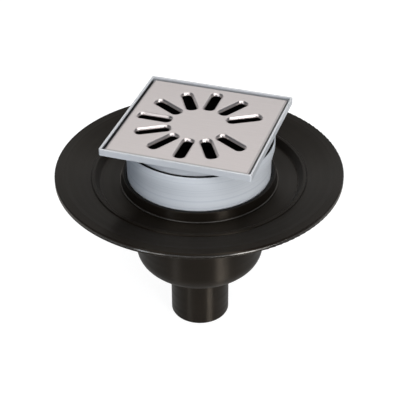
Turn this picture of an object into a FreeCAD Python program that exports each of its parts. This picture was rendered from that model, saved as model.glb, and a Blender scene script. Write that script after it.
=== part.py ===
import FreeCAD, Part
import math
import os
import re

import Sketcher

# Driving dimensions of the shower drain, in millimetres and degrees.
# The origin is the centre of the outlet's end face, +Z is up, and the square frame lies along X and Y.
SIZES = {
    # outlet and bowl of the body
    "outlet_radius": 25.0,
    "outlet_length": 53.0,
    "outlet_wall": 2.0,
    "outlet_chamfer": 1.2,
    "outlet_fillet": 2.5,
    "body_wall": 2.6,
    "bowl_depth": 57.6,
    "bowl_fall": 2.7,
    "bowl_rounding": 16.0,
    # chamber that takes the neck, above the bowl
    "chamber_depth": 25.5,
    "chamber_rounding": 3.0,
    "chamber_fillet": 2.0,
    "trap_step": 3.0,
    "ledge_width": 4.9,
    "neck_room": 1.1,
    # collar round the neck
    "collar_height": 8.4,
    "collar_edge": 1.2,
    "collar_lean": 1.4,
    "foot_height": 1.4,
    "foot_width": 1.0,
    "edge_rounding": 0.4,
    # flange from the recess outwards
    "recess_width": 16.3,
    "recess_depth": 4.9,
    "recess_run": 3.9,
    "recess_fillet": 2.0,
    "bead_rise": 0.9,
    "bead_width": 2.6,
    "bead_run": 0.6,
    "bead_rounding": 0.9,
    "flange_radius": 117.9,
    "flange_rise": 5.1,
    "band_width": 7.4,
    "band_rise": 0.5,
    "rim_height": 4.9,
    "rim_lip": 2.6,
    "rim_rounding": 1.0,
    # rubber ring in the collar
    "seat_depth": 7.9,
    "seal_height": 8.0,
    "seal_width": 2.4,
    "seal_clearance": 0.3,
    "seal_base": 1.3,
    "seal_flare": 0.5,
    "seal_seating": 0.1,
    # neck
    "neck_radius": 58.9,
    "neck_wall": 2.4,
    "neck_insertion": 13.0,
    "neck_reveal": 31.8,
    "neck_chamfer": 1.2,
    "socket_depth": 9.7,
    "socket_gap": 0.8,
    "lip_wall": 1.1,
    "lip_height": 6.6,
    "lip_taper": 12.8,
    "taper_rounding": 9.0,
    # rubber ring in the neck's mouth
    "mouth_seal_width": 1.8,
    "mouth_seal_height": 3.3,
    "mouth_seal_clearance": 0.3,
    "mouth_depth": 3.0,
    # square frame with its spigot
    "frame_overhang": 3.1,
    "frame_height": 5.5,
    "frame_rim": 1.7,
    "frame_floor": 1.4,
    "frame_corner": 1.6,
    "frame_edge": 0.4,
    "recess_corner": 1.0,
    "spigot_inset": 0.5,
    "spigot_wall": 2.0,
    "spigot_length": 17.0,
    # pressed grate
    "grate_gap": 0.8,
    "grate_drop": 1.5,
    "grate_sheet": 1.2,
    "grate_bend": 2.2,
    "grate_corner": 2.6,
    "place_count": 12,
    "slot_inner": 23.7,
    "slot_border": 7.7,
    "slot_width": 8.6,
    "slot_corner": 3.6,
    "slot_draw": 3.2,
    "slot_lip": 2.0,
    # trap that lifts out of the bowl
    "gasket_thickness": 2.0,
    "gasket_margin": 1.0,
    "plate_thickness": 2.4,
    "plate_clearance": 0.8,
    "lift_clearance": 0.9,
    "plate_rim": 9.5,
    "funnel_drop": 6.0,
    "tube_radius": 24.0,
    "tube_wall": 1.8,
    "water_seal": 28.0,
    "tube_floor_gap": 5.5,
    "skirt_wall": 1.8,
    "skirt_length": 6.6,
    "lug_width": 8.0,
    "lug_height": 2.2,
    "lug_rise": 0.6,
    "lug_reach": 1.8,
    "lug_room": 0.4,
    "tab_width": 18.0,
    "tab_height": 11.0,
    "tab_thickness": 2.4,
    "tab_inset": 6.0,
    "overflow_width": 9.4,
    "cup_clearance": 0.2,
    "cup_wall": 1.8,
    "cup_floor": 2.0,
    "cup_rounding": 7.0,
    "cup_underside_gap": 7.0,
    "arm_width": 13.0,
    "arm_top_gap": 0.4,
    "arm_count": 4,
    "tab_count": 2,
}

# Levels above the outlet's end face, as formulas of the sizes.
BOWL_TOP = "(outlet_length + bowl_depth)"
LEDGE = f"({BOWL_TOP} + body_wall)"
CHAMBER_FLOOR = f"({LEDGE} + trap_step)"
FLOOR = f"({BOWL_TOP} + chamber_depth)"
COLLAR_TOP = f"({FLOOR} + collar_height)"
SEAT = f"({COLLAR_TOP} - seat_depth)"
BEAD_FOOT = f"({FLOOR} + recess_depth)"
BEAD_TOP = f"({BEAD_FOOT} + bead_rise)"
BAND = f"({BEAD_FOOT} + flange_rise)"
RIM = f"({BAND} + band_rise)"
NECK_BOTTOM = f"({COLLAR_TOP} - neck_insertion)"
NECK_LENGTH = "(neck_insertion + neck_reveal)"
SOCKET_LEDGE = f"({NECK_LENGTH} - socket_depth)"
FRAME_BOTTOM = f"({NECK_BOTTOM} + {SOCKET_LEDGE} + spigot_length)"
GRATE_BOTTOM = f"({FRAME_BOTTOM} + frame_floor)"
GRATE_HEIGHT = "(frame_height - frame_floor - grate_drop)"
PLATE = f"({LEDGE} + gasket_thickness)"
CUP_BOTTOM = "(outlet_length + bowl_fall + body_wall + cup_underside_gap)"
CUP_RIM = "(cup_floor + tube_floor_gap + water_seal)"
TUBE_END = f"({PLATE} - {CUP_BOTTOM} - cup_floor - tube_floor_gap)"

# Radii and half widths, each from the piece that it fits.
OUTLET_BORE = "(outlet_radius - outlet_wall)"
NECK_BORE = "(neck_radius - neck_wall)"
CHAMBER_BORE = "(neck_radius + neck_room)"
CHAMBER_RADIUS = f"({CHAMBER_BORE} + body_wall)"
SEAL_BORE = "(neck_radius + seal_clearance)"
SEAT_RADIUS = f"({SEAL_BORE} + seal_width)"
COLLAR_RADIUS = f"({SEAT_RADIUS} + collar_edge)"
FOOT_RADIUS = f"({COLLAR_RADIUS} + collar_lean + foot_width)"
RECESS_RADIUS = f"({FOOT_RADIUS} + recess_width)"
BEAD_RADIUS = f"({RECESS_RADIUS} + recess_run)"
BEAD_OUTER = f"({BEAD_RADIUS} + bead_width)"
BAND_RADIUS = "(flange_radius - band_width)"
SPIGOT_RADIUS = "(neck_radius - spigot_inset)"
SPIGOT_BORE = f"({SPIGOT_RADIUS} - spigot_wall)"
SOCKET_RADIUS = f"({SPIGOT_RADIUS} + socket_gap)"
MOUTH_SEAL_BORE = f"({SPIGOT_RADIUS} + mouth_seal_clearance)"
MOUTH_RADIUS = f"({MOUTH_SEAL_BORE} + mouth_seal_width)"
LIP_RADIUS = f"({MOUTH_RADIUS} + lip_wall)"
FRAME_HALF = f"({SPIGOT_RADIUS} + frame_overhang)"
SEAT_HALF = f"({FRAME_HALF} - frame_rim)"
GRATE_HALF = f"({SEAT_HALF} - grate_gap)"
SLOT_OUTER = f"({GRATE_HALF} - slot_border)"
PLATE_RADIUS = f"({SPIGOT_BORE} - lift_clearance)"
TRAP_SEAT_RADIUS = f"({PLATE_RADIUS} + plate_clearance)"
BOWL_BORE = f"({TRAP_SEAT_RADIUS} - ledge_width)"
BOWL_RADIUS = f"({BOWL_BORE} + body_wall)"
FUNNEL_RADIUS = f"({PLATE_RADIUS} - plate_rim)"
TUBE_BORE = "(tube_radius - tube_wall)"
CUP_RADIUS = f"({BOWL_BORE} - overflow_width)"
CUP_BORE = f"({CUP_RADIUS} - cup_wall)"
SKIRT_RADIUS = f"({CUP_BORE} - cup_clearance)"

# The skirt meets the funnel's slope below the plate, and the cup's arms end just under that.
SKIRT_FALL = f"(funnel_drop * ({FUNNEL_RADIUS} - {SKIRT_RADIUS}) / ({FUNNEL_RADIUS} - tube_radius))"
ARM_TOP = f"({PLATE} - {CUP_BOTTOM} - {SKIRT_FALL} - arm_top_gap)"

# One place of the slots' circle stays bare.
SLOT_PITCH = "(360 / place_count)"
SLOT_COUNT = "(place_count - 1)"

# Edges whose heights differ by less than this lie at one level.
LEVEL_TOLERANCE = 1e-4

doc = FreeCAD.newDocument("shower_drain")
sheet = doc.addObject("Spreadsheet::Sheet", "Sizes")
for row, (alias, number) in enumerate(SIZES.items(), start=1):
    sheet.set(f"A{row}", alias)
    sheet.set(f"B{row}", str(number))
    sheet.setAlias(f"B{row}", alias)
doc.recompute()


def formula(text):
    """Points every size named in a formula at its cell in the sheet."""
    return re.sub(r"[a-z]\w*", lambda name: "Sizes." + name.group(), text)


def value(text):
    """Works a formula out as a number."""
    return float(sheet.evalExpression(formula(text)))


def new_body(label, level="0"):
    """Starts a sub-part whose own zero height stands at a level of the drain."""
    body = doc.addObject("PartDesign::Body", label)
    body.Label = label
    body.setExpression("Placement.Base.z", formula(level))
    return body


def origin_feature(body, role):
    """Finds one of a body's own origin planes or axes."""
    return next(item for item in body.Origin.OriginFeatures if item.Role == role)


def corner_arc(before, corner, after, radius):
    """Rounds one corner: gives where the arc starts and ends on the path, the arc, and if it turns left."""
    towards_before = (before - corner).normalize()
    towards_after = (after - corner).normalize()
    half_angle = towards_before.getAngle(towards_after) / 2
    reach = radius / math.tan(half_angle)
    start = corner + towards_before * reach
    end = corner + towards_after * reach
    middle = (towards_before + towards_after).normalize()
    centre = corner + middle * (radius / math.sin(half_angle))
    turns_left = towards_before.cross(towards_after).z < 0
    first, last = (start, end) if turns_left else (end, start)
    first_angle = math.atan2(first.y - centre.y, first.x - centre.x)
    last_angle = math.atan2(last.y - centre.y, last.x - centre.x)
    if last_angle < first_angle:
        last_angle += 2 * math.pi
    circle = Part.Circle(centre, FreeCAD.Vector(0, 0, 1), radius)
    return start, end, Part.ArcOfCircle(circle, first_angle, last_angle), turns_left


def outline(body, name, role, corners, lift="0", turn="0"):
    """Draws a closed outline on an origin plane.

    Each corner is (across, up) or (across, up, rounding), all formulas. Every corner is held by two
    dimensions from the origin, and every rounding by its radius and two tangencies.
    """
    sketch = body.newObject("Sketcher::SketchObject", name)
    sketch.AttachmentSupport = [(origin_feature(body, role), "")]
    sketch.MapMode = "FlatFace"
    sketch.setExpression("AttachmentOffset.Base.z", formula(lift))
    sketch.setExpression("AttachmentOffset.Rotation.Angle", formula(turn))

    spots = [FreeCAD.Vector(value(corner[0]), value(corner[1]), 0) for corner in corners]
    arrive = list(spots)
    leave = list(spots)
    arcs = {}
    for index, corner in enumerate(corners):
        if len(corner) == 3:
            after = spots[(index + 1) % len(spots)]
            start, end, arc, turns_left = corner_arc(spots[index - 1], spots[index], after, value(corner[2]))
            arrive[index] = start
            leave[index] = end
            arcs[index] = (arc, turns_left)

    count = len(corners)
    lines = [Part.LineSegment(leave[index], arrive[(index + 1) % count]) for index in range(count)]
    sketch.addGeometry(lines, False)
    for index, corner in enumerate(corners):
        line_in = (index - 1) % count
        held, held_end = index, 1
        if index in arcs:
            arc, turns_left = arcs[index]
            arc_id = sketch.addGeometry(arc, False)
            held = sketch.addGeometry(Part.Point(spots[index]), True)
            arc_in, arc_out = (1, 2) if turns_left else (2, 1)
            sketch.addConstraint([
                Sketcher.Constraint("Tangent", line_in, 2, arc_id, arc_in),
                Sketcher.Constraint("Tangent", arc_id, arc_out, index, 1),
                Sketcher.Constraint("PointOnObject", held, 1, line_in),
                Sketcher.Constraint("PointOnObject", held, 1, index),
            ])
            rounding = sketch.addConstraint(Sketcher.Constraint("Radius", arc_id, arc.Radius))
            sketch.setExpression(f"Constraints[{rounding}]", formula(corner[2]))
        else:
            sketch.addConstraint(Sketcher.Constraint("Coincident", line_in, 2, index, 1))
        across = sketch.addConstraint(Sketcher.Constraint("DistanceX", held, held_end, spots[index].x))
        sketch.setExpression(f"Constraints[{across}]", formula(corner[0]))
        up = sketch.addConstraint(Sketcher.Constraint("DistanceY", held, held_end, spots[index].y))
        sketch.setExpression(f"Constraints[{up}]", formula(corner[1]))
    return sketch


def turned(body, name, corners):
    """Turns a half section, drawn as (radius, height), once round the drain's axis."""
    sketch = outline(body, name + "_section", "XZ_Plane", corners)
    feature = body.newObject("PartDesign::Revolution", name)
    feature.Profile = sketch
    feature.ReferenceAxis = (sketch, ["V_Axis"])
    feature.Angle = 360
    doc.recompute()
    return feature


def padded(body, name, corners, lift, length, turn="0", downwards=False):
    """Pads an outline from a level."""
    feature = body.newObject("PartDesign::Pad", name)
    feature.Profile = outline(body, name + "_outline", "XY_Plane", corners, lift, turn)
    feature.setExpression("Length", formula(length))
    feature.Reversed = downwards
    doc.recompute()
    return feature


def pocketed(body, name, corners, lift, length, turn="0", upwards=False):
    """Cuts an outline from a level, and makes sure that the cut took something away."""
    volume_before = body.Shape.Volume
    feature = body.newObject("PartDesign::Pocket", name)
    feature.Profile = outline(body, name + "_outline", "XY_Plane", corners, lift, turn)
    feature.setExpression("Length", formula(length))
    feature.Reversed = upwards
    doc.recompute()
    if feature.Shape.Volume >= volume_before:
        raise RuntimeError(name + " cuts nothing")
    return feature


def patterned(body, name, features, angle, count):
    """Repeats features about the drain's axis."""
    feature = body.newObject("PartDesign::PolarPattern", name)
    feature.Originals = features
    feature.Axis = (origin_feature(body, "Z_Axis"), [""])
    feature.setExpression("Angle", formula(angle))
    feature.setExpression("Occurrences", formula(count))
    body.Tip = feature
    doc.recompute()
    return feature


def filleted(body, name, base, radius, chosen):
    """Rounds the edges of a feature that a test picks by their middle point and bounds."""
    edges = [f"Edge{index}" for index, edge in enumerate(base.Shape.Edges, start=1) if chosen(edge.BoundBox)]
    feature = body.newObject("PartDesign::Fillet", name)
    feature.Base = (base, edges)
    feature.setExpression("Radius", formula(radius))
    doc.recompute()
    return feature


def rectangle(low_x, low_y, high_x, high_y, *rounding):
    """Corners of a rectangle, all rounded alike where a rounding is given."""
    return [
        (low_x, low_y, *rounding),
        (high_x, low_y, *rounding),
        (high_x, high_y, *rounding),
        (low_x, high_y, *rounding),
    ]


def square(half, *rounding):
    """Corners of a square about the axis."""
    return rectangle(f"-{half}", f"-{half}", half, half, *rounding)


def at_height(level):
    """A test for edges that lie flat at a height of their own body."""
    height = value(level)
    return lambda box: max(abs(box.ZMin - height), abs(box.ZMax - height)) < LEVEL_TOLERANCE


def make_drain_body():
    """The black moulding: collar, flange, rim, chamber, bowl and outlet, walked round its half section."""
    body = new_body("drain_body")
    turned(body, "moulding", [
        (SEAT_RADIUS, COLLAR_TOP, "edge_rounding"),
        (COLLAR_RADIUS, COLLAR_TOP, "edge_rounding"),
        (f"{COLLAR_RADIUS} + collar_lean", f"{FLOOR} + foot_height"),
        (FOOT_RADIUS, f"{FLOOR} + foot_height", "edge_rounding"),
        (FOOT_RADIUS, FLOOR),
        (RECESS_RADIUS, FLOOR, "recess_fillet"),
        (BEAD_RADIUS, BEAD_TOP, "bead_rounding"),
        (BEAD_OUTER, BEAD_TOP, "bead_rounding"),
        (f"{BEAD_OUTER} + bead_run", BEAD_FOOT),
        (BAND_RADIUS, BAND),
        ("flange_radius", RIM, "rim_rounding"),
        ("flange_radius", f"{RIM} - rim_height", "rim_rounding"),
        ("flange_radius - rim_lip", f"{RIM} - rim_height", "edge_rounding"),
        ("flange_radius - rim_lip", f"{RIM} - body_wall"),
        (BAND_RADIUS, f"{BAND} - body_wall"),
        (f"{BEAD_RADIUS} + body_wall / 3", f"{BEAD_FOOT} - body_wall"),
        (f"{RECESS_RADIUS} + body_wall / 2", f"{FLOOR} - body_wall"),
        (CHAMBER_RADIUS, f"{FLOOR} - body_wall", "chamber_fillet"),
        (CHAMBER_RADIUS, f"{BOWL_TOP} + trap_step", "chamber_rounding"),
        (BOWL_RADIUS, BOWL_TOP, "chamber_fillet"),
        (BOWL_RADIUS, "outlet_length + bowl_fall", "bowl_rounding"),
        ("outlet_radius", "outlet_length", "outlet_fillet"),
        ("outlet_radius", "outlet_chamfer"),
        ("outlet_radius - outlet_chamfer / 2", "0"),
        (OUTLET_BORE, "0"),
        (OUTLET_BORE, "outlet_length + body_wall"),
        (BOWL_BORE, "outlet_length + bowl_fall + body_wall", "bowl_rounding - body_wall"),
        (BOWL_BORE, LEDGE),
        (TRAP_SEAT_RADIUS, LEDGE),
        (TRAP_SEAT_RADIUS, CHAMBER_FLOOR),
        (CHAMBER_BORE, CHAMBER_FLOOR),
        (CHAMBER_BORE, SEAT),
        (SEAT_RADIUS, SEAT),
    ])
    return body


def make_neck_seal():
    """The rubber ring: it fills the collar up to its top, and its lower half closes in to the neck."""
    body = new_body("neck_seal", SEAT)
    outer = f"({SEAT_RADIUS} - seal_seating)"
    turned(body, "lip_ring", [
        (f"{outer} - seal_base", "0"),
        (outer, "0"),
        (outer, "seal_height", "edge_rounding"),
        (f"{SEAL_BORE} + seal_flare", "seal_height", "edge_rounding"),
        (SEAL_BORE, "seal_height / 2"),
        (SEAL_BORE, "seal_height / 4"),
    ])
    return body


def make_riser_neck():
    """The neck: a tube with a lead-in below that widens to a socket with an inner ledge on top."""
    body = new_body("riser_neck", NECK_BOTTOM)
    turned(body, "tube", [
        (NECK_BORE, "0"),
        ("neck_radius - neck_chamfer / 2", "0"),
        ("neck_radius", "neck_chamfer"),
        ("neck_radius", f"{NECK_LENGTH} - lip_height - lip_taper", "taper_rounding"),
        (LIP_RADIUS, f"{NECK_LENGTH} - lip_height", "taper_rounding"),
        (LIP_RADIUS, NECK_LENGTH, "edge_rounding"),
        (MOUTH_RADIUS, NECK_LENGTH, "edge_rounding"),
        (MOUTH_RADIUS, f"{NECK_LENGTH} - mouth_depth"),
        (SOCKET_RADIUS, f"{NECK_LENGTH} - mouth_depth"),
        (SOCKET_RADIUS, SOCKET_LEDGE),
        (NECK_BORE, SOCKET_LEDGE),
    ])
    return body


def make_mouth_seal():
    """The rubber ring in the neck's mouth, round the frame's spigot."""
    body = new_body("mouth_seal", f"{NECK_BOTTOM} + {NECK_LENGTH} - mouth_depth")
    outer = f"{MOUTH_RADIUS} - seal_seating"
    turned(body, "ring", rectangle(MOUTH_SEAL_BORE, "0", outer, "mouth_seal_height", "edge_rounding"))
    return body


def make_top_frame():
    """The square frame: a tray for the grate, open in the middle, on a round spigot."""
    body = new_body("top_frame", FRAME_BOTTOM)
    padded(body, "block", square(FRAME_HALF, "frame_corner"), "0", "frame_height")
    turned(body, "spigot", [
        (SPIGOT_BORE, "-spigot_length"),
        (SPIGOT_RADIUS, "-spigot_length"),
        (SPIGOT_RADIUS, "frame_floor / 2"),
        (SPIGOT_BORE, "frame_floor / 2"),
    ])
    pocketed(body, "grate_seat", square(SEAT_HALF, "recess_corner"), "frame_height",
             "frame_height - frame_floor")
    groove = body.newObject("PartDesign::Groove", "throat")
    section = outline(body, "throat_section", "XZ_Plane", [
        ("0", "-spigot_length"),
        (SPIGOT_BORE, "-spigot_length"),
        (SPIGOT_BORE, "frame_height"),
        ("0", "frame_height"),
    ])
    volume_before = body.Shape.Volume
    groove.Profile = section
    groove.ReferenceAxis = (section, ["V_Axis"])
    groove.Angle = 360
    doc.recompute()
    if groove.Shape.Volume >= volume_before:
        raise RuntimeError("throat cuts nothing")
    filleted(body, "soft_rim", groove, "frame_edge", at_height("frame_height"))
    return body


def make_grate():
    """The pressed grate: a shallow upturned tray whose slots are drawn down with rounded lips."""
    body = new_body("grate", GRATE_BOTTOM)
    sheet_block = padded(body, "sheet_block", square(GRATE_HALF, "grate_corner"), "0", GRATE_HEIGHT)
    filleted(body, "turned_edge", sheet_block, "grate_bend", at_height(GRATE_HEIGHT))
    inside_half = f"({GRATE_HALF} - grate_sheet)"
    underside = f"({GRATE_HEIGHT} - grate_sheet)"
    hollow = pocketed(body, "hollow", square(inside_half, "grate_corner - grate_sheet"), "0", underside,
                      upwards=True)
    filleted(body, "inner_bend", hollow, "grate_bend - grate_sheet", at_height(underside))
    half_width = "slot_width / 2"
    half_collar = f"({half_width} + grate_sheet)"
    collar = padded(body, "slot_collar",
                    rectangle("slot_inner - grate_sheet", f"-{half_collar}",
                              f"{SLOT_OUTER} + grate_sheet", half_collar, "slot_corner + grate_sheet"),
                    underside, "slot_draw - grate_sheet", SLOT_PITCH, downwards=True)
    hole = pocketed(body, "slot_hole",
                    rectangle("slot_inner", f"-{half_width}", SLOT_OUTER, half_width, "slot_corner"),
                    GRATE_HEIGHT, "slot_draw + grate_sheet", SLOT_PITCH)
    slots = patterned(body, "slots", [collar, hole], f"{SLOT_PITCH} * ({SLOT_COUNT} - 1)", SLOT_COUNT)
    top_edge = at_height(GRATE_HEIGHT)
    reach = value(SLOT_OUTER) + value("slot_lip")
    filleted(body, "drawn_lips", slots, "slot_lip",
             lambda box: top_edge(box) and math.hypot(box.Center.x, box.Center.y) < reach
             and max(box.XLength, box.YLength) < reach)
    return body


def make_trap_gasket():
    """The flat rubber ring on the ledge between chamber and bowl."""
    body = new_body("trap_gasket", LEDGE)
    inner = f"{BOWL_BORE} + gasket_margin"
    turned(body, "ring", rectangle(inner, "0", PLATE_RADIUS, "gasket_thickness"))
    return body


def make_trap_tube():
    """The insert: a plate that funnels into the dip tube, a skirt with lugs below, finger tabs above."""
    body = new_body("trap_tube", PLATE)
    turned(body, "funnel", [
        (PLATE_RADIUS, "0"),
        (PLATE_RADIUS, "plate_thickness", "edge_rounding"),
        (FUNNEL_RADIUS, "plate_thickness"),
        (TUBE_BORE, "plate_thickness - funnel_drop"),
        (TUBE_BORE, f"-{TUBE_END}"),
        ("tube_radius", f"-{TUBE_END}"),
        ("tube_radius", "-funnel_drop"),
        (FUNNEL_RADIUS, "0"),
    ])
    skirt_bore = f"({SKIRT_RADIUS} - skirt_wall)"
    turned(body, "skirt", [
        (skirt_bore, "-skirt_length"),
        (SKIRT_RADIUS, "-skirt_length"),
        (SKIRT_RADIUS, f"plate_thickness / 2 - {SKIRT_FALL}"),
        (skirt_bore, f"plate_thickness / 2 - {SKIRT_FALL}"),
    ])
    lug = padded(body, "lug",
                 rectangle(f"{SKIRT_RADIUS} - skirt_wall / 2", "-lug_width / 2",
                           f"{CUP_BORE} + lug_reach", "lug_width / 2"),
                 "lug_rise - skirt_length", "lug_height")
    patterned(body, "lugs", [lug], "360", "arm_count")
    tab = padded(body, "tab",
                 rectangle(f"{PLATE_RADIUS} - tab_inset - tab_thickness", "-tab_width / 2",
                           f"{PLATE_RADIUS} - tab_inset", "tab_width / 2"),
                 "plate_thickness / 2", "tab_height + plate_thickness / 2")
    patterned(body, "tabs", [tab], "360", "tab_count")
    return body


def make_trap_cup():
    """The cup: its rim is the overflow, and its arms rise outside the skirt and hang on the lugs."""
    body = new_body("trap_cup", CUP_BOTTOM)
    turned(body, "pot", [
        ("0", "0"),
        (CUP_RADIUS, "0", "cup_rounding"),
        (CUP_RADIUS, ARM_TOP),
        (CUP_BORE, ARM_TOP),
        (CUP_BORE, "cup_floor", "cup_rounding - cup_wall"),
        ("0", "cup_floor"),
    ])
    gap = pocketed(body, "overflow_gap",
                   rectangle("arm_width / 2", "arm_width / 2", CUP_RADIUS, CUP_RADIUS),
                   ARM_TOP, f"{ARM_TOP} - {CUP_RIM}")
    patterned(body, "overflow_gaps", [gap], "360", "arm_count")
    lug_top = f"({PLATE} - {CUP_BOTTOM} - skirt_length + lug_rise + lug_height)"
    window = pocketed(body, "lug_window",
                      rectangle(f"{CUP_BORE} - cup_wall", "-lug_width / 2 - lug_room",
                                f"{CUP_RADIUS} + cup_wall", "lug_width / 2 + lug_room"),
                      lug_top, "lug_height + lug_room")
    patterned(body, "lug_windows", [window], "360", "arm_count")
    return body


sub_parts = [
    make_drain_body(),
    make_neck_seal(),
    make_riser_neck(),
    make_mouth_seal(),
    make_top_frame(),
    make_grate(),
    make_trap_gasket(),
    make_trap_tube(),
    make_trap_cup(),
]
doc.recompute()

for item in doc.Objects:
    if "Invalid" in item.State or "Error" in item.State:
        raise RuntimeError(f"{item.Label} failed: {item.State}")
for part in sub_parts:
    if part.Shape.isNull() or not part.Shape.isValid():
        raise RuntimeError(f"{part.Label} has no valid shape")
    if len(part.Shape.Solids) != 1:
        raise RuntimeError(f"{part.Label} is {len(part.Shape.Solids)} solids")

os.makedirs("parts", exist_ok=True)
for part in sub_parts:
    part.Shape.exportStep(f"parts/{part.Label}.step")
    box = part.Shape.optimalBoundingBox(False)
    print(f"{part.Label}: {part.Shape.Volume / 1000:.1f} cm3, z {box.ZMin:.2f} to {box.ZMax:.2f}, "
          f"x {box.XMin:.2f} to {box.XMax:.2f}")
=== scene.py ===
# %% [markdown]
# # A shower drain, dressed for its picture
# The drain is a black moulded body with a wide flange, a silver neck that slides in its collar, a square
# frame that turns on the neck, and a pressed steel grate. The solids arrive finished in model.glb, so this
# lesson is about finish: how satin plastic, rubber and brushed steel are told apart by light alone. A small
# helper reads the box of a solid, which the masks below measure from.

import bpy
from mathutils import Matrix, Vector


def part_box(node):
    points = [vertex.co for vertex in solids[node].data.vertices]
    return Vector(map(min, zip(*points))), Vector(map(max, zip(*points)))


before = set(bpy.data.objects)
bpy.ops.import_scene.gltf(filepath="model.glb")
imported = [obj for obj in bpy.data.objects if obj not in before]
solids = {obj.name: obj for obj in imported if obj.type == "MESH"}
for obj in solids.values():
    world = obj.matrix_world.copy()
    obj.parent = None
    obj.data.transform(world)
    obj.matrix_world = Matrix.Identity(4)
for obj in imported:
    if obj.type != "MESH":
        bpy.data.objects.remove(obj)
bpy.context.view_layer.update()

# %% imports
import math

import bmesh
import bpy
from mathutils import Matrix, Vector

scene = bpy.context.scene
MM = 0.001
print(len(solids), "solids:", ", ".join(sorted(solids)))

# %% [markdown]
# ## The camera
# A long lens stands about a metre away and looks down on the grate. Its matrix could be typed in, but
# nobody could read or mend it. So its place is given the way a photographer would say it: how far round
# the object, how high, how far off, and what it aims at. The small roll is there because nobody levels a
# product camera perfectly.

# %% camera
PICTURE_SIDE = 400
FOCAL_PIXELS = 1184.75
SENSOR_WIDTH = 36.0
CAMERA_AZIMUTH = math.radians(18.35)
CAMERA_ELEVATION = math.radians(34.76)
CAMERA_ROLL = math.radians(-0.42)
CAMERA_DISTANCE = 988.0 * MM
CAMERA_SIGHT = 100
AIM_HEIGHT = 113.7 * MM
AIM_SIDEWAYS = 0.55 * MM


def direction(azimuth, elevation):
    """Unit vector from the object towards a place round it. Azimuth 0 is on the -Y side."""
    flat = math.cos(elevation)
    return Vector((math.sin(azimuth) * flat, -math.cos(azimuth) * flat, math.sin(elevation)))


towards_camera = direction(CAMERA_AZIMUTH, CAMERA_ELEVATION)
level_right = Vector((math.cos(CAMERA_AZIMUTH), math.sin(CAMERA_AZIMUTH), 0))
aim = Vector((0, 0, AIM_HEIGHT)) + level_right * AIM_SIDEWAYS
axes = Matrix((level_right, towards_camera.cross(level_right), towards_camera)).transposed()
lens = bpy.data.cameras.new("camera")
lens.sensor_width = SENSOR_WIDTH
lens.lens = FOCAL_PIXELS / PICTURE_SIDE * SENSOR_WIDTH
lens.clip_end = CAMERA_SIGHT
camera = bpy.data.objects.new("camera", lens)
camera.matrix_world = (
    Matrix.Translation(aim + towards_camera * CAMERA_DISTANCE)
    @ (axes @ Matrix.Rotation(CAMERA_ROLL, 3, "Z")).to_4x4()
)
scene.collection.objects.link(camera)
scene.camera = camera
print("lens", round(lens.lens, 1), "mm, camera at", [round(x, 3) for x in camera.location])

# %% [markdown]
# ## A short way to write materials
# Every finish below is a small tree of shader nodes. In the editor each wire is drawn by hand, and in plain
# code each wire takes a line, which soon hides what the tree is for. A few helpers keep a finish to lines
# that can be read. These first ones make a material, add nodes, feed their sockets and dress a piece.

# %% nodes and sockets


def new_material(name):
    """A new material, the tree to add nodes to, and its Principled shader."""
    material = bpy.data.materials.new(name)
    material.use_nodes = True
    return material, material.node_tree, material.node_tree.nodes["Principled BSDF"]


def feed(tree, socket, value):
    """Gives a socket a fixed value, or links another node's output to it."""
    if isinstance(value, bpy.types.NodeSocket):
        tree.links.new(value, socket)
    else:
        socket.default_value = value


def connect(tree, node, **sockets):
    """Feeds a node's sockets by their names, with an underscore for each space."""
    for name, value in sockets.items():
        feed(tree, node.inputs[name.replace("_", " ")], value)


def add(tree, kind, **sockets):
    """Adds a node and feeds its sockets."""
    made = tree.nodes.new(kind)
    connect(tree, made, **sockets)
    return made


def dress(material, *names):
    """Gives solids a material in their one slot."""
    for name in names:
        solids[name].data.materials[0] = material
    print(material.name, "on", ", ".join(names))


# %% [markdown]
# ## Masks, colours and relief
# The next helpers calculate. A mask is a number from 0 to 1 that says where on a piece something holds,
# such as a worn edge or a coat of paint, and masks that all have to hold are multiplied. Colours are mixed
# by a mask or a noise. A height becomes a relief that bends the light and leaves the mesh alone, which
# suits marks that are too fine to model.

# %% masks, colours and relief


def between(tree, value, low, high, start=0.3, end=0.7):
    """Maps start to end, by default the middle of a noise, to a range that is never left."""
    made = add(tree, "ShaderNodeMapRange", Value=value, From_Min=start, From_Max=end)
    connect(tree, made, To_Min=low, To_Max=high)
    return made.outputs["Result"]


def calculate(tree, operation, first, second):
    """One step of arithmetic between two values."""
    made = tree.nodes.new("ShaderNodeMath")
    made.operation = operation
    feed(tree, made.inputs[0], first)
    feed(tree, made.inputs[1], second)
    return made.outputs["Value"]


def product(tree, first, *others):
    """Masks or shares multiplied together."""
    for value in others:
        first = calculate(tree, "MULTIPLY", first, value)
    return first


def band(tree, value, low, high, soft):
    """A mask that is 1 between two values, and 0 beyond a soft edge outside them."""
    rise = between(tree, value, 0, 1, low - soft, low)
    fall = between(tree, value, 1, 0, high, high + soft)
    return product(tree, rise, fall)


def mix(tree, factor, first, second):
    """Mixes two colours by a factor. Either may be fixed or come from other nodes."""
    made = tree.nodes.new("ShaderNodeMix")
    made.data_type = "RGBA"
    feed(tree, made.inputs["Factor"], factor)
    for socket, colour in zip([s for s in made.inputs if s.type == "RGBA"], (first, second)):
        linked = isinstance(colour, bpy.types.NodeSocket)
        feed(tree, socket, colour if linked else (*colour, 1))
    return next(out for out in made.outputs if out.type == "RGBA")


def tones(tree, noise, dark, pale):
    """A colour that wanders between two close tones as a noise does."""
    return mix(tree, between(tree, noise, 0, 1), dark, pale)


def bump(tree, height, depth, normal=None):
    """Turns a height into a relief of that depth in metres, alone or on top of an earlier relief."""
    made = add(tree, "ShaderNodeBump", Height=height, Distance=depth)
    if normal is not None:
        connect(tree, made, Normal=normal)
    return made.outputs["Normal"]


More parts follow.
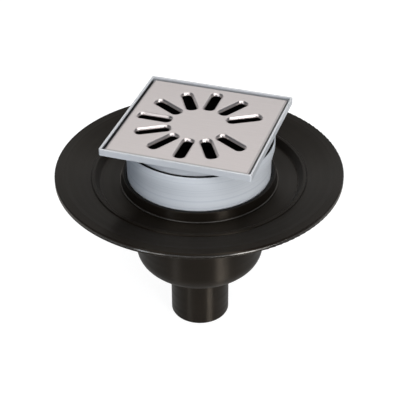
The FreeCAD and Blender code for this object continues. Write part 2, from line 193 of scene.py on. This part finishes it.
# %% [markdown]
# ## Where a point lies
# Masks and patterns read the piece's own Object coordinates. They stay with a piece when it slides or
# turns, and they count in metres, so a spot can be given its real size. Generated coordinates would count
# in shares of the piece's box instead. On round pieces the distance from the axis is the useful measure,
# and on square ones the larger of the two sideways coordinates.

# %% places on a piece


def place(tree):
    """A point's own coordinates on its piece, in metres."""
    return add(tree, "ShaderNodeTexCoord").outputs["Object"]


def coordinate(tree, axis):
    """One of those coordinates, named by its axis."""
    return add(tree, "ShaderNodeSeparateXYZ", Vector=place(tree)).outputs[axis]


def height_of(tree):
    """How high a point lies above the outlet's end when the drain is at rest."""
    return coordinate(tree, "Z")


def axis_distance(tree):
    """How far a point lies from the drain's upright axis."""
    flat = add(tree, "ShaderNodeMapping", Vector=place(tree), Scale=(1, 1, 0)).outputs["Vector"]
    made = tree.nodes.new("ShaderNodeVectorMath")
    made.operation = "LENGTH"
    feed(tree, made.inputs[0], flat)
    return made.outputs["Value"]


def side_reach(tree):
    """How far a point lies from the axis on a square piece."""
    reaches = [calculate(tree, "ABSOLUTE", coordinate(tree, axis), 0) for axis in "XY"]
    return calculate(tree, "MAXIMUM", *reaches)


# %% [markdown]
# ## Grain and rings
# No moulding or sheet is the same all over, so noise varies the colour, the gloss and the height of each
# finish. The moulds of round parts are turned, and the parts keep faint rings round their axis. On a wall
# they run level, on the flange they run round. A noise that only reads the distance from the axis and the
# height draws both. The rings stretch every highlight across them, which is why round plastic parts show
# streaks.

# %% grain and rings


def spots(tree, vector, size, detail):
    """Noise over a vector, with spots of about that size in metres."""
    return add(tree, "ShaderNodeTexNoise", Vector=vector, Scale=1 / size, Detail=detail).outputs["Fac"]


def grain(tree, size, detail=2.0, stretch=(1, 1, 1)):
    """Noise in all three directions, with spots drawn out along an axis that has a small stretch."""
    mapped = add(tree, "ShaderNodeMapping", Vector=place(tree), Scale=stretch)
    return spots(tree, mapped.outputs["Vector"], size, detail)


def rings(tree, size, detail=2.0):
    """Noise that is the same all round the axis, with rings about that wide."""
    section = add(tree, "ShaderNodeCombineXYZ", X=axis_distance(tree), Y=height_of(tree))
    return spots(tree, section.outputs["Vector"], size, detail)


# %% [markdown]
# ## Black moulded plastic
# The body is one polypropylene moulding, black-brown rather than black. Two thin lines on it carry a
# painted highlight: a ledge on the side of the flange's rim, and the step at the collar's foot. Their
# colour is painted paler there, in place of the light they would catch. Thin extra pieces could draw these
# lines, but they belong to the same moulding. So masks find them, by their distance from the axis and their
# height.

# %% painted highlight lines
RIM_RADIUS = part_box("drain_body")[1].x
RIM_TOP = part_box("drain_body")[1].z
RIM_SIDE_START = RIM_RADIUS - 0.6 * MM
RIM_SIDE_FULL = RIM_RADIUS - 0.3 * MM
LEDGE_TOP = RIM_TOP - 1.75 * MM
LEDGE_FOOT = RIM_TOP - 2.75 * MM
LEDGE_SOFT = 0.1 * MM
FOOT_RADIUS = 65.2 * MM
FOOT_WIDTH = 0.5 * MM
FOOT_TOP = RIM_TOP - 9.0 * MM
FOOT_HEIGHT = 0.6 * MM
FOOT_SOFT = 0.2 * MM
# How strongly the painted highlight line at the foot shows.
FOOT_HIGHLIGHT = 0.55
body_plastic, tree, shader = new_material("black_moulding")
reach = axis_distance(tree)
height = height_of(tree)
rim_side = between(tree, reach, 0, 1, RIM_SIDE_START, RIM_SIDE_FULL)
rim_edge = product(tree, rim_side, band(tree, height, LEDGE_FOOT, LEDGE_TOP, LEDGE_SOFT))
foot_edge = product(
    tree,
    band(tree, reach, FOOT_RADIUS - FOOT_WIDTH, FOOT_RADIUS, FOOT_SOFT),
    band(tree, height, FOOT_TOP - FOOT_HEIGHT, FOOT_TOP, FOOT_SOFT),
    FOOT_HIGHLIGHT,
)
edges = calculate(tree, "MAXIMUM", rim_edge, foot_edge)
# The two painted highlight lines lie at these distances from the axis.
print("rubbed edges at", round(RIM_RADIUS / MM, 1), "and", round(FOOT_RADIUS / MM, 1), "mm from the axis")

# %% [markdown]
# The shine of the moulding is satin and wanders from ring to ring, which keeps the large flange from
# looking like a computer's. The highlight lines are too thin to catch much light with plastic's own gloss,
# so their mask also makes them metallic, on top of their painted pale colour. A bump slopes the ledge,
# which is a millimetre high, towards the light.

# %% body plastic
BLACK_PATCH = 22 * MM
BLACK_TONES = (0.0050, 0.0038, 0.0027), (0.0068, 0.0051, 0.0037)
# The pale tones and the low roughness below are for the painted highlight lines.
HIGHLIGHT_PATCH = 5 * MM
HIGHLIGHT_TONES = (0.12, 0.114, 0.108), (0.17, 0.162, 0.154)
SATIN_RING = 3.5 * MM
SATIN_ROUGHNESS = 0.32, 0.42
HIGHLIGHT_ROUGHNESS = 0.19
FINE_RING = 0.8 * MM
FINE_RING_DEPTH = 0.012 * MM
LEDGE_DEPTH = 0.66 * MM
BODY_SPECULAR = 0.17
BODY_TINT = (1.0, 0.86, 0.70, 1)
ACROSS_RINGS = 0.25
black = tones(tree, grain(tree, BLACK_PATCH), *BLACK_TONES)
highlighted = tones(tree, grain(tree, HIGHLIGHT_PATCH, detail=3), *HIGHLIGHT_TONES)
satin = between(tree, rings(tree, SATIN_RING, detail=4), *SATIN_ROUGHNESS)
turned = bump(tree, rings(tree, FINE_RING), FINE_RING_DEPTH)
ledge = product(tree, rim_side, between(tree, height, 1, 0, LEDGE_FOOT, LEDGE_TOP))
# Black, with the two painted highlight lines paler and metallic.
connect(
    tree,
    shader,
    Base_Color=mix(tree, edges, black, highlighted),
    Metallic=edges,
    Roughness=between(tree, edges, satin, HIGHLIGHT_ROUGHNESS, 0, 1),
    Normal=bump(tree, ledge, LEDGE_DEPTH, turned),
    Specular_IOR_Level=BODY_SPECULAR,
    Specular_Tint=BODY_TINT,
    Anisotropic=1.0,
    Anisotropic_Rotation=ACROSS_RINGS,
)
dress(body_plastic, "drain_body")

# %% [markdown]
# ## Silver spray
# The neck and the frame are sprayed silver. A metal shader would mirror the lamps, and this paint is softer
# than that, so it is a pale plastic with a fine flake. Inside the round bores the colour is painted
# near-black instead, a painted shade for the hollow seen through the slots. One material with a mask says
# that better than two materials with a hard border between them.

# %% silver spray
FLAKE_SIZE = 0.25 * MM
# The patch size and tones below give the near-black of the painted shade.
SHADE_PATCH = 12 * MM
SHADE_TONES = (0.006, 0.0055, 0.005), (0.009, 0.008, 0.0075)
COAT_PATCH = 14 * MM
COAT_ROUGHNESS = 0.36, 0.42
COAT_GRAIN = 0.9 * MM
COAT_GRAIN_DEPTH = 0.01 * MM
BORE_START = 56.6 * MM
BORE_END = 56.9 * MM


def flake(tree, dull, bright):
    """Silver paint whose fine flake lies between two close tones."""
    return tones(tree, grain(tree, FLAKE_SIZE, detail=4), dull, bright)


# The black inside the bores is painted shade.
def inside_bore(tree):
    """A mask that is 1 inside the round bore."""
    return between(tree, axis_distance(tree), 1, 0, BORE_START, BORE_END)


def spray(tree, shader, silver, painted_shade_mask, normal):
    """Satin silver, which gives way to a near-black painted shade where the mask is 1."""
    # The near-black that stands in for shade.
    shade_black = tones(tree, grain(tree, SHADE_PATCH), *SHADE_TONES)
    connect(
        tree,
        shader,
        Base_Color=mix(tree, painted_shade_mask, silver, shade_black),
        Roughness=between(tree, grain(tree, COAT_PATCH, detail=3), *COAT_ROUGHNESS),
        Normal=normal,
    )


# %% [markdown]
# ## The neck
# The neck has a wider socket at its top and a taper below it. Thin level streaks of duller silver run round
# it, drawn with the same kind of rings as the mould leaves. The light should flow over the taper into the
# walls above and below, so a bump takes back some of the taper's slope.

# %% neck
NECK_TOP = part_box("riser_neck")[1].z
NECK_TONES = (0.65, 0.678, 0.718), (0.71, 0.737, 0.773)
STREAK_SILVER = (0.44, 0.48, 0.54)
STREAK_SIZE = 2.4 * MM
STREAK_SHARE = 0.4
STREAK_RANGE = 0.52, 0.66
TAPER_TOP = NECK_TOP - 6.6 * MM
TAPER_FOOT = NECK_TOP - 19.4 * MM
TAPER_RELIEF = 1.7 * MM
neck_silver, tree, shader = new_material("silver_neck")
streaks = between(tree, rings(tree, STREAK_SIZE, detail=3), 0, STREAK_SHARE, *STREAK_RANGE)
silver = mix(tree, streaks, flake(tree, *NECK_TONES), STREAK_SILVER)
turned = bump(tree, rings(tree, COAT_GRAIN), COAT_GRAIN_DEPTH)
taper = between(tree, height_of(tree), 1, 0, TAPER_FOOT, TAPER_TOP)
spray(tree, shader, silver, inside_bore(tree), bump(tree, taper, TAPER_RELIEF, turned))
dress(neck_silver, "riser_neck")

# %% [markdown]
# ## The frame
# The top of the frame's rim is painted a paler silver, a painted highlight. In the tray that holds the
# grate, the walls below a narrow top band and the tray's floor are painted near-black, a painted shade that
# gives the grate its dark outline. The back wall, which faces the front lamps, gets less of this painted
# shade than the others. A few masks on height and reach tell all this apart.

# %% frame
FRAME_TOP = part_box("top_frame")[1].z
FRAME_TONES = (0.535, 0.553, 0.585), (0.59, 0.608, 0.638)
# The paler silver on the rim's top is a painted highlight.
RIM_HIGHLIGHT_SILVER = (0.64, 0.65, 0.665)
EDGE_START = FRAME_TOP - 0.5 * MM
EDGE_FULL = FRAME_TOP - 0.2 * MM
TRAY_HALF = 59.8 * MM
TRAY_WALL = TRAY_HALF + 0.05 * MM
TRAY_OUTSIDE = TRAY_HALF + 0.2 * MM
TRAY_FLOOR = FRAME_TOP - 4.1 * MM
# The levels and shares below place the painted shade in the tray, with less of it on the back wall.
SHADE_FADE = 0.3 * MM
SHADE_TOP = FRAME_TOP - 1.3 * MM
TRAY_SHADE_SHARE = 0.95
BACK_SHADE_SHARE = 0.3
BACK_START = TRAY_HALF - 2 * MM
BACK_FULL = TRAY_HALF - 1 * MM
frame_silver, tree, shader = new_material("silver_frame")
height = height_of(tree)
rim_top = between(tree, height, 0, 1, EDGE_START, EDGE_FULL)
silver = mix(tree, rim_top, flake(tree, *FRAME_TONES), RIM_HIGHLIGHT_SILVER)
# Painted shade on the tray's walls and floor, lighter on the back wall.
tray_shade = product(
    tree,
    between(tree, side_reach(tree), 1, 0, TRAY_WALL, TRAY_OUTSIDE),
    between(tree, height, 0, 1, TRAY_FLOOR - SHADE_FADE, TRAY_FLOOR),
    between(tree, height, 0, 1, SHADE_TOP, SHADE_TOP - SHADE_FADE),
    between(tree, coordinate(tree, "Y"), TRAY_SHADE_SHARE, BACK_SHADE_SHARE, BACK_START, BACK_FULL),
)
painted_shade_mask = calculate(tree, "MAXIMUM", inside_bore(tree), tray_shade)
spray(tree, shader, silver, painted_shade_mask, bump(tree, grain(tree, COAT_GRAIN), COAT_GRAIN_DEPTH))
dress(frame_silver, "top_frame")

# %% [markdown]
# ## Brushed steel
# The grate is stainless sheet with a fine straight brush, pressed so that its slots have rolled lips. The
# brush is a noise drawn out along X, and colour, gloss and relief all follow it, as they do on real steel.
# An image of brushed steel would do too, but it would have to be fitted to the lips. The press smooths what
# it draws down, so everything below the flat is a little glossier. The bent border is painted a darker
# steel, a painted shade next to the frame's walls, and a bump leans the walls of the slots slightly.

# %% parts of the grate
GRATE_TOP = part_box("grate")[1].z
LIP_START = GRATE_TOP - 0.05 * MM
LIP_FULL = GRATE_TOP - 0.35 * MM
BORDER_START = 56.1 * MM
BORDER_FULL = 56.9 * MM
SLOT_REACH = 54 * MM
LEAN_TOP = GRATE_TOP - 0.9 * MM
LEAN_FOOT = GRATE_TOP - 2.6 * MM
grate_steel, tree, shader = new_material("brushed_steel")
height = height_of(tree)
reach = side_reach(tree)
lip = between(tree, height, 0, 1, LIP_START, LIP_FULL)
border = between(tree, reach, 0, 1, BORDER_START, BORDER_FULL)
lean = product(
    tree,
    between(tree, height, 1, 0, LEAN_FOOT, LEAN_TOP),
    between(tree, reach, 1, 0, SLOT_REACH, BORDER_START),
)
print("grate's top at", round(GRATE_TOP / MM, 1), "mm")

# %% grate steel
BRUSH_WIDTH = 0.22 * MM
BRUSH_STRETCH = (0.012, 1, 1)
BRUSH_DEPTH = 0.004 * MM
BRUSH_ROUGHNESS = 0.33, 0.42
STEEL_TONES = (0.575, 0.525, 0.51), (0.65, 0.598, 0.583)
# The darker steel of the border is painted shade next to the frame's walls.
BORDER_SHADE_STEEL = (0.44, 0.41, 0.40)
LIP_ROUGHNESS = 0.30
LEAN_DEPTH = 0.6 * MM
brush = grain(tree, BRUSH_WIDTH, detail=3, stretch=BRUSH_STRETCH)
flat_roughness = between(tree, brush, *BRUSH_ROUGHNESS)
connect(
    tree,
    shader,
    Base_Color=mix(tree, border, tones(tree, brush, *STEEL_TONES), BORDER_SHADE_STEEL),
    Metallic=1.0,
    Roughness=between(tree, lip, flat_roughness, LIP_ROUGHNESS, 0, 1),
    Normal=bump(tree, lean, LEAN_DEPTH, bump(tree, brush, BRUSH_DEPTH)),
)
dress(grate_steel, "grate")

# %% [markdown]
# ## Rubber
# The seals are matt rubber rings, darker and duller than the body beside them. Rubber needs little: a high
# roughness, hardly any mirror shine and a fine grain, so that it reads as a gap with a soft edge.

# %% rubber
RUBBER_PATCH = 6 * MM
RUBBER_TONES = (0.005, 0.005, 0.0052), (0.008, 0.008, 0.0083)
RUBBER_ROUGH_PATCH = 1.5 * MM
RUBBER_ROUGHNESS = 0.58, 0.72
RUBBER_GRAIN = 0.3 * MM
RUBBER_GRAIN_DEPTH = 0.015 * MM
RUBBER_SPECULAR = 0.2
seal_rubber, tree, shader = new_material("black_rubber")
connect(
    tree,
    shader,
    Base_Color=tones(tree, grain(tree, RUBBER_PATCH), *RUBBER_TONES),
    Roughness=between(tree, grain(tree, RUBBER_ROUGH_PATCH, detail=3), *RUBBER_ROUGHNESS),
    Normal=bump(tree, grain(tree, RUBBER_GRAIN, detail=3), RUBBER_GRAIN_DEPTH),
    Specular_IOR_Level=RUBBER_SPECULAR,
)
dress(seal_rubber, "neck_seal", "mouth_seal", "trap_gasket")

# %% [markdown]
# ## The hidden trap
# The tube and the cup of the trap are black plastic like the body, with a coarser grain and less shine,
# because nobody polishes the mould of a part that stays out of sight. They could share the body's
# material, but then they would share its satin shine and its rings too.

# %% trap plastic
TRAP_PATCH = 18 * MM
TRAP_TONES = (0.004, 0.0037, 0.0034), (0.007, 0.0065, 0.006)
TRAP_ROUGH_PATCH = 4 * MM
TRAP_ROUGHNESS = 0.46, 0.56
TRAP_GRAIN = 0.6 * MM
TRAP_GRAIN_DEPTH = 0.02 * MM
TRAP_SPECULAR = 0.16
trap_plastic, tree, shader = new_material("trap_moulding")
connect(
    tree,
    shader,
    Base_Color=tones(tree, grain(tree, TRAP_PATCH), *TRAP_TONES),
    Roughness=between(tree, grain(tree, TRAP_ROUGH_PATCH, detail=4), *TRAP_ROUGHNESS),
    Normal=bump(tree, grain(tree, TRAP_GRAIN, detail=3), TRAP_GRAIN_DEPTH),
    Specular_IOR_Level=TRAP_SPECULAR,
)
dress(trap_plastic, "trap_tube", "trap_cup")

# %% [markdown]
# ## The floor
# The drain stands on its outlet on a white floor. More lamps would make the floor white, but the drain too
# bright. So part of the white is a glow that only the camera and reflections see, and the rest is a plain
# matt paint, which is what carries the shadow.

# %% what the camera sees


def seen(tree):
    """1 for the rays of the camera, of reflections and of clear materials, and 0 for light itself."""
    path = add(tree, "ShaderNodeLightPath").outputs
    mirrored = calculate(tree, "MAXIMUM", path["Is Glossy Ray"], path["Is Transmission Ray"])
    return calculate(tree, "MAXIMUM", path["Is Camera Ray"], mirrored)


def together(tree, first, second, output):
    """Adds two shaders, and gives the sum to the tree's output node."""
    both = tree.nodes.new("ShaderNodeAddShader")
    feed(tree, both.inputs[0], first.outputs[0])
    feed(tree, both.inputs[1], second.outputs[0])
    connect(tree, output, Surface=both.outputs[0])


# %% floor
FLOOR_RADIUS = 8.0
FLOOR_SIDES = 96
FLOOR_GLOW = 0.9
FLOOR_WHITE = (0.26, 0.26, 0.26, 1)
mesh = bmesh.new()
bmesh.ops.create_circle(mesh, cap_ends=True, segments=FLOOR_SIDES, radius=FLOOR_RADIUS)
floor_mesh = bpy.data.meshes.new("floor")
mesh.to_mesh(floor_mesh)
mesh.free()
floor = bpy.data.objects.new("floor", floor_mesh)
scene.collection.objects.link(floor)
floor_paint, tree, shader = new_material("floor_white")
tree.nodes.remove(shader)
glow = add(tree, "ShaderNodeEmission", Strength=product(tree, seen(tree), FLOOR_GLOW))
matt = add(tree, "ShaderNodeBsdfDiffuse", Color=FLOOR_WHITE)
together(tree, glow, matt, tree.nodes["Material Output"])
floor_mesh.materials.append(floor_paint)
print("floor of radius", FLOOR_RADIUS, "m")

# %% [markdown]
# ## The light
# Six soft lamps stand round the drain, each named for its place as the camera sees it. The back box hangs
# behind and above, where the flat grate mirrors it, and the front box hangs high on the camera's side. To
# the right and to the left, a box and a low strip shape the round neck and draw lines down the bowl and
# the outlet. The right side is the strong one. The left is weaker, and its strip is a little blue, as from
# a window. Point lamps would be simpler, but satin plastic would show them as hard dots.

# %% soft lamps
LIGHT_AIM = Vector((0, 0, 130 * MM))
WINDOW_BLUE = (0.70, 0.83, 1.0)


def lamp(name, azimuth, elevation, distance, width, height, watts, aim=LIGHT_AIM):
    """A rectangular lamp that faces a point of the drain. Azimuth counts from the camera to its right."""
    towards = direction(CAMERA_AZIMUTH + math.radians(azimuth), math.radians(elevation))
    light = bpy.data.lights.new(name, "AREA")
    light.shape = "RECTANGLE"
    light.size = width
    light.size_y = height
    light.energy = watts
    made = bpy.data.objects.new(name, light)
    facing = towards.to_track_quat("Z", "Y").to_matrix().to_4x4()
    made.matrix_world = Matrix.Translation(aim + towards * distance) @ facing
    scene.collection.objects.link(made)
    print(name, watts, "W")
    return light


lamp("back_box", azimuth=170, elevation=48, distance=1.5, width=1.8, height=1.3, watts=7.4)
lamp("front_box", azimuth=8, elevation=70, distance=1.3, width=1.1, height=1.1, watts=6.7)
lamp("right_box", azimuth=37, elevation=42, distance=1.3, width=0.6, height=1.0, watts=4.8)
lamp("right_strip", azimuth=31, elevation=6, distance=1.3, width=0.26, height=0.4, watts=6.7)
lamp("left_box", azimuth=-37, elevation=43, distance=1.3, width=0.45, height=1.0, watts=2.6)
left_strip = lamp("left_strip", azimuth=-39, elevation=6, distance=1.3, width=0.14, height=0.4, watts=1.8)
left_strip.color = WINDOW_BLUE

# %% [markdown]
# The flange shades the bowl and the outlet from the lamps above. Two small lamps stand level near the floor
# and reach under it. Their narrow spread works like the grid on a studio lamp: it keeps the beam on the
# bowl and the outlet.

# %% low lamps
LOW_AIM = Vector((0, 0, 38 * MM))
LOW_ELEVATION = 0
LOW_DISTANCE = 0.42
LOW_WIDTH = 0.14
LOW_HEIGHT = 0.07
LOW_SPREAD = math.radians(34)
for name, azimuth, watts in (("low_right", 36, 0.045), ("low_left", -38, 0.009)):
    low_lamp = lamp(name, azimuth, LOW_ELEVATION, LOW_DISTANCE, LOW_WIDTH, LOW_HEIGHT, watts, LOW_AIM)
    low_lamp.spread = LOW_SPREAD

# %% [markdown]
# ## The room
# A dim, cool room fills the shadows. Satin black shows mostly what it mirrors, so the room also has a pale
# band above the horizon, as a white studio wall would give. Only the camera and reflections see that band,
# so it adds no light of its own.

# %% room
ROOM_COLOUR = (0.8, 0.9, 1.0, 1)
ROOM_STRENGTH = 0.12
HORIZON_GLOW = 0.93
HORIZON_FULL = math.sin(math.radians(8))
HORIZON_END = math.sin(math.radians(17))
room = bpy.data.worlds.new("room")
room.use_nodes = True
tree = room.node_tree
dim = tree.nodes["Background"]
connect(tree, dim, Color=ROOM_COLOUR, Strength=ROOM_STRENGTH)
sight = add(tree, "ShaderNodeTexCoord").outputs["Generated"]
upward = add(tree, "ShaderNodeSeparateXYZ", Vector=sight).outputs["Z"]
low = between(tree, upward, HORIZON_GLOW, 0, HORIZON_FULL, HORIZON_END)
pale = add(tree, "ShaderNodeBackground", Strength=product(tree, seen(tree), low))
together(tree, dim, pale, tree.nodes["World Output"])
scene.world = room
scene.view_settings.view_transform = "Standard"
print("room of strength", ROOM_STRENGTH, "with a horizon of", HORIZON_GLOW)
